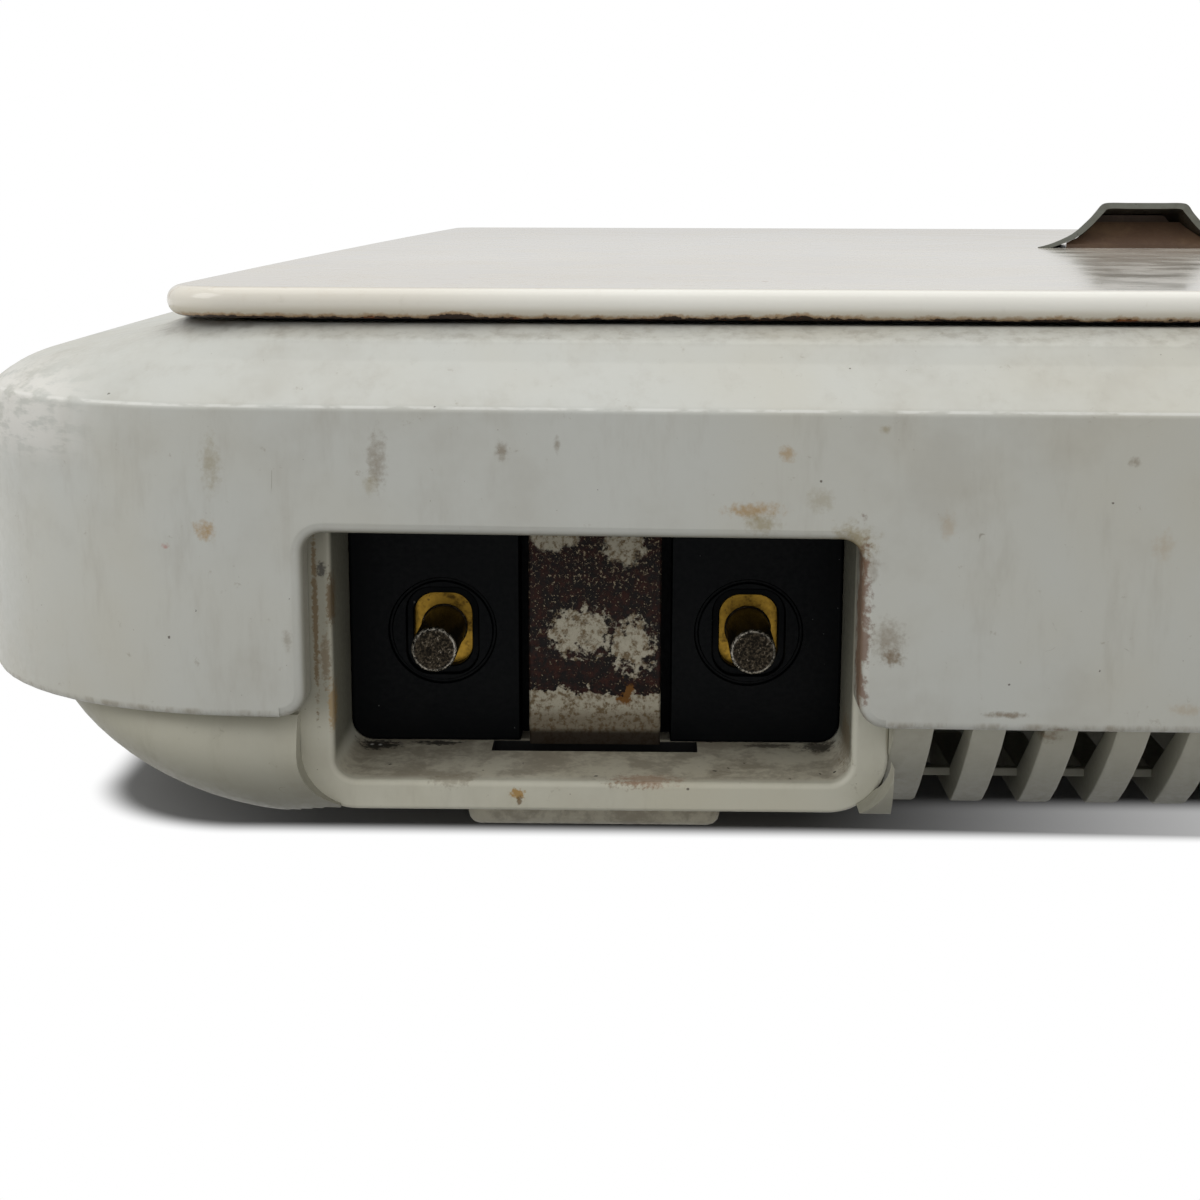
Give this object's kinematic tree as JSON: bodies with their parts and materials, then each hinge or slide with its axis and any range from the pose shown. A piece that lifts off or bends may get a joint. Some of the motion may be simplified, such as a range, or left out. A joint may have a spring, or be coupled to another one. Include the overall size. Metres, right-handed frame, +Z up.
{
  "type": "table-top electric griddle",
  "caption": "Low table-top electric griddle with an enamelled lid, a lift-out cooking plate, a control knob and a recessed magnetic-plug inlet beside underside vents.",
  "frame": {"origin": "middle of the whole part's box, on the surface the feet stand on", "axes": "+Z up, -Y towards the end with the inlet and the knob, +X to the right seen from that end"},
  "size_m": [0.3184, 0.3632, 0.0652],
  "materials": {
    "housing": "aged off-white, satin",
    "hull": "aged olive-grey, satin",
    "foot_rubber": "matt",
    "steel": "plated",
    "enamel": "gloss enamel, worn",
    "pull_metal": "satin",
    "pull_dark": "matt",
    "plate_coating": "non-stick, satin",
    "heater_sheath": "heat-darkened",
    "ceramic": "satin",
    "bright_aluminium": "bright",
    "block_black": "satin phenolic",
    "brass": "tarnished",
    "nickel": "nickel plate",
    "keeper_iron": "worn plate with rust",
    "control_black": "satin",
    "mark_white": "satin",
    "lens_red": "clear tint",
    "neon_glass": "clear",
    "lead_red": "satin",
    "lead_white": "satin"
  },
  "bodies": {
    "root": {"upper_housing": "housing", "lower_housing": "hull", "rubber_feet": "foot_rubber", "housing_screws": "steel", "heater_element": "heater_sheath", "heater_clips": "steel", "heater_bushes": "ceramic", "heater_terminals": "steel", "reflector_pan": "bright_aluminium", "reflector_screws": "steel", "inlet_block": "block_black", "terminal_plate_left": "brass", "terminal_plate_right": "brass", "pin_left": "nickel", "pin_right": "nickel", "keeper_strip": "keeper_iron", "inlet_screws": "steel", "thermostat_bracket": "steel", "thermostat_body": "ceramic", "dial_plate": "bright_aluminium", "sensor_sleeve": "bright_aluminium", "sensor_spring": "steel", "thermal_fuse": "brass", "fuse_clip": "steel", "lamp_lens": "lens_red", "lamp_holder": "control_black", "neon_lamp": "neon_glass", "lead_live": "lead_red", "lead_neutral": "lead_white", "lead_heater": "lead_red", "lamp_leads": "lead_white"},
    "knob": {"control_knob": "control_black", "knob_pointer": "mark_white", "thermostat_shaft": "steel"},
    "plate": {"cooking_plate": "plate_coating", "plate_rim": "plate_coating"},
    "lid": {"lid": "enamel", "lid_skirt": "enamel", "skirt_flange": "enamel", "lid_pull": "pull_metal", "pull_core": "pull_dark", "pull_screws": "steel", "pull_washers": "steel"},
    "sensor": {"sensor_plunger": "bright_aluminium"}
  },
  "joints": [
    {"name": "knob_turn", "type": "hinge", "parent": "root", "child": "knob", "pos_m": [0.084, -0.16935, 0.03], "axis": [0, 1, 0], "range_deg": [0, 270]},
    {"name": "plate_lift", "type": "slide", "parent": "root", "child": "plate", "axis": [0, 0, 1], "range_m": [0, 0.06]},
    {"name": "lid_lift", "type": "slide", "parent": "plate", "child": "lid", "axis": [0, 0, 1], "range_m": [0, 0.12]},
    {"name": "sensor_press", "type": "slide", "parent": "root", "child": "sensor", "axis": [0, 0, 1], "range_m": [-0.0025, 0], "stiffness_N_per_m": 120, "springref_m": 0.004, "deforming": ["sensor_spring"]}
  ]
}
